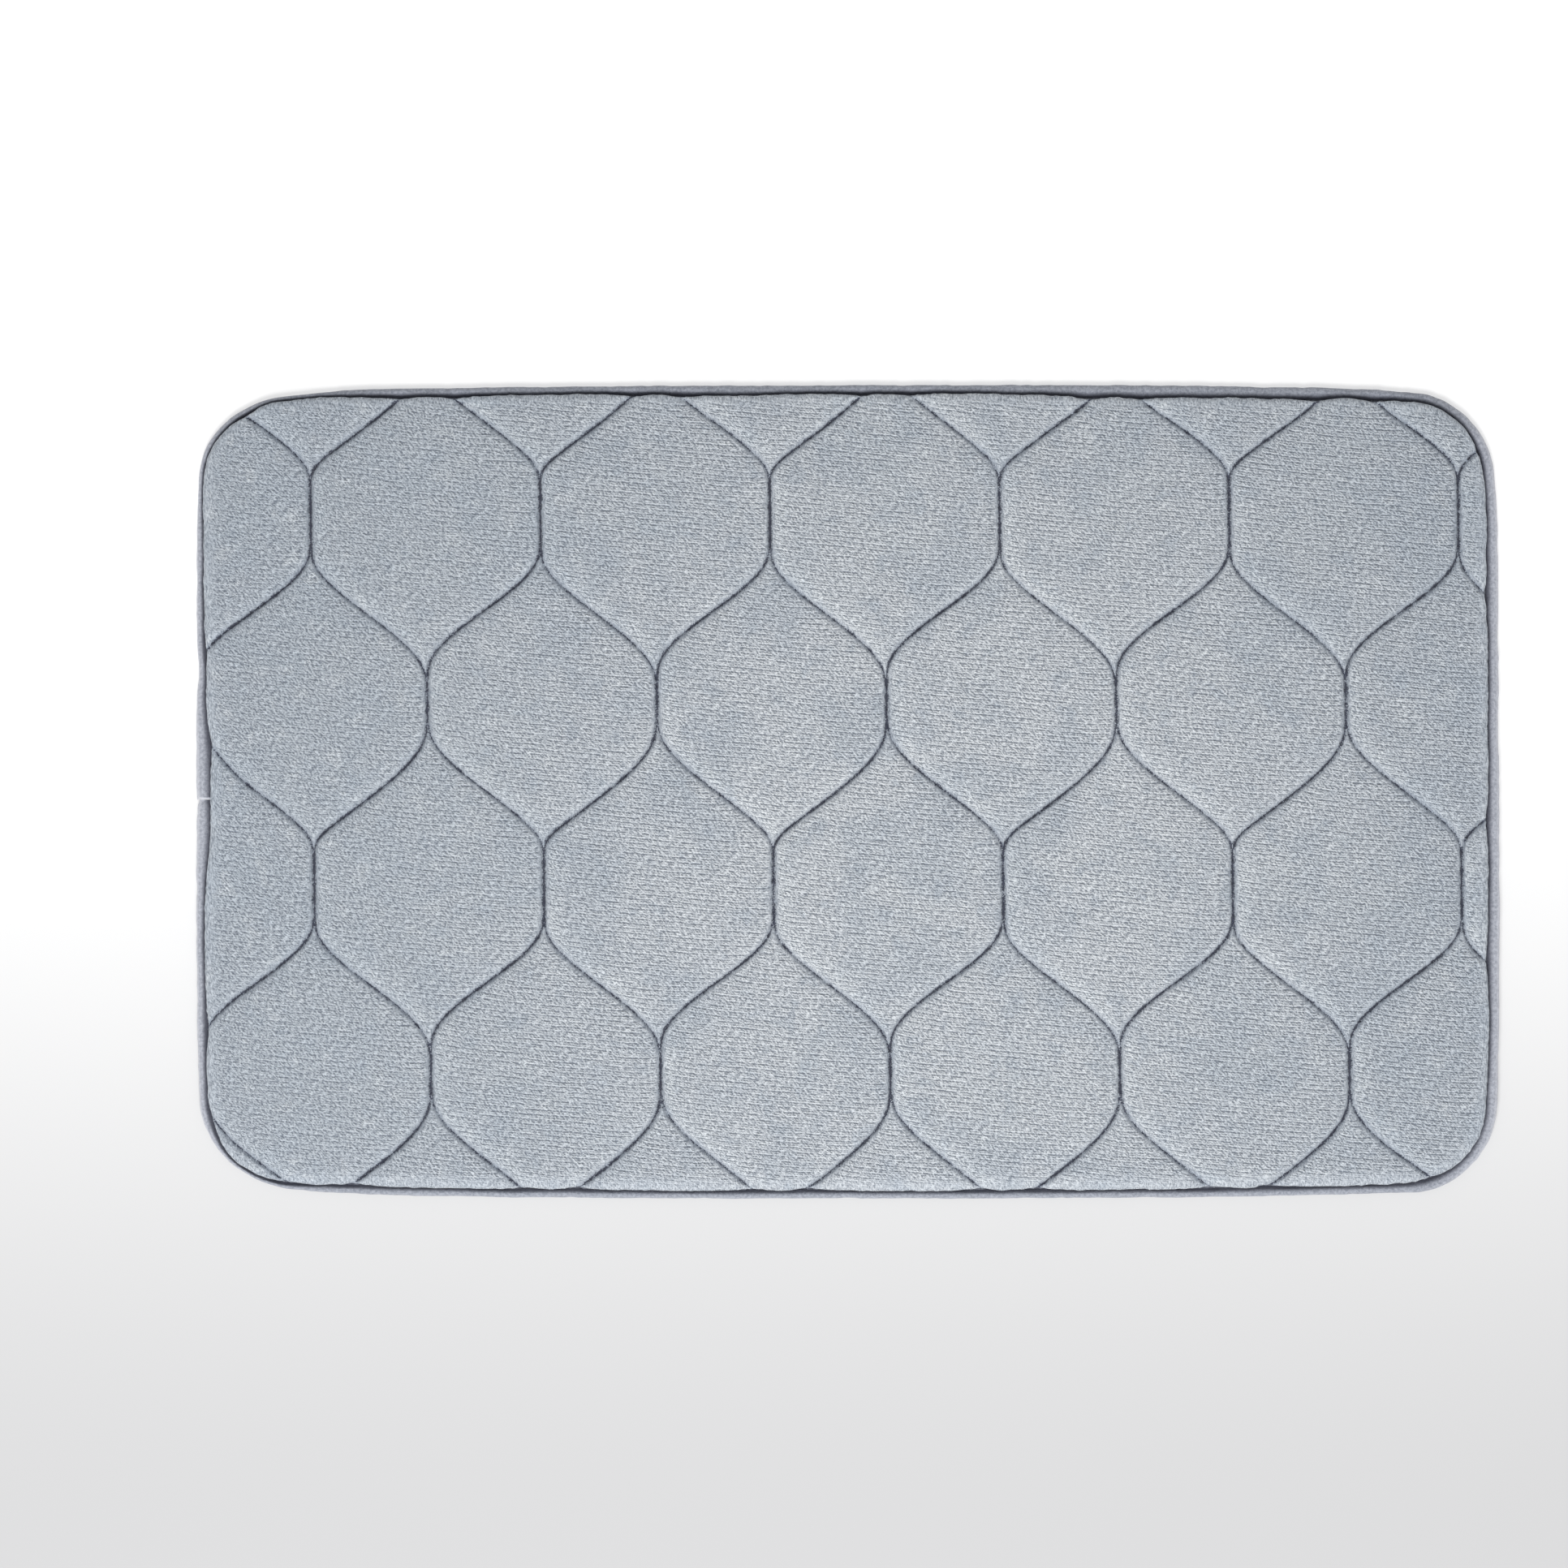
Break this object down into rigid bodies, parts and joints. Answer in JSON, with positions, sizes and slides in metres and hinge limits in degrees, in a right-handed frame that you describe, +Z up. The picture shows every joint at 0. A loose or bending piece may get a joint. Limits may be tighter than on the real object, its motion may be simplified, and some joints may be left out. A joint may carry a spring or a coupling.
{
  "type": "bath mat",
  "caption": "Rectangular quilted bath mat: fleece cover over memory foam, wavy seams in ogee cells, edge binding all round and an anti-slip backing.",
  "frame": {"origin": "middle of the underside, on the surface that the mat lies on", "axes": "+X along the long side, +Y along the short side, +Z up through the mat"},
  "size_m": [0.8, 0.5, 0.015],
  "materials": {
    "fleece": "short-pile fleece, matt",
    "velour": "smooth velour, soft sheen",
    "memory_foam": "open-cell memory foam, matt",
    "anti_slip": "matt sheet with raised grip dots",
    "thread": "spun polyester thread"
  },
  "bodies": {
    "root": {"backing": "anti_slip", "binding_bobbin_thread": "thread", "binding_needle_thread": "thread", "edge_binding": "velour", "foam_core": "memory_foam", "seam_01_bobbin_thread": "thread", "seam_01_needle_thread": "thread", "seam_02_bobbin_thread": "thread", "seam_02_needle_thread": "thread", "seam_03_bobbin_thread": "thread", "seam_03_needle_thread": "thread", "seam_04_bobbin_thread": "thread", "seam_04_needle_thread": "thread", "seam_05_bobbin_thread": "thread", "seam_05_needle_thread": "thread", "seam_06_bobbin_thread": "thread", "seam_06_needle_thread": "thread", "seam_07_bobbin_thread": "thread", "seam_07_needle_thread": "thread", "seam_08_bobbin_thread": "thread", "seam_08_needle_thread": "thread", "seam_09_bobbin_thread": "thread", "seam_09_needle_thread": "thread", "seam_10_bobbin_thread": "thread", "seam_10_needle_thread": "thread", "seam_11_bobbin_thread": "thread", "seam_11_needle_thread": "thread", "seam_12_bobbin_thread": "thread", "seam_12_needle_thread": "thread", "seam_13_bobbin_thread": "thread", "seam_13_needle_thread": "thread", "seam_14_bobbin_thread": "thread", "seam_14_needle_thread": "thread", "seam_15_bobbin_thread": "thread", "seam_15_needle_thread": "thread", "top_cover": "fleece"}
  },
  "joints": []
}
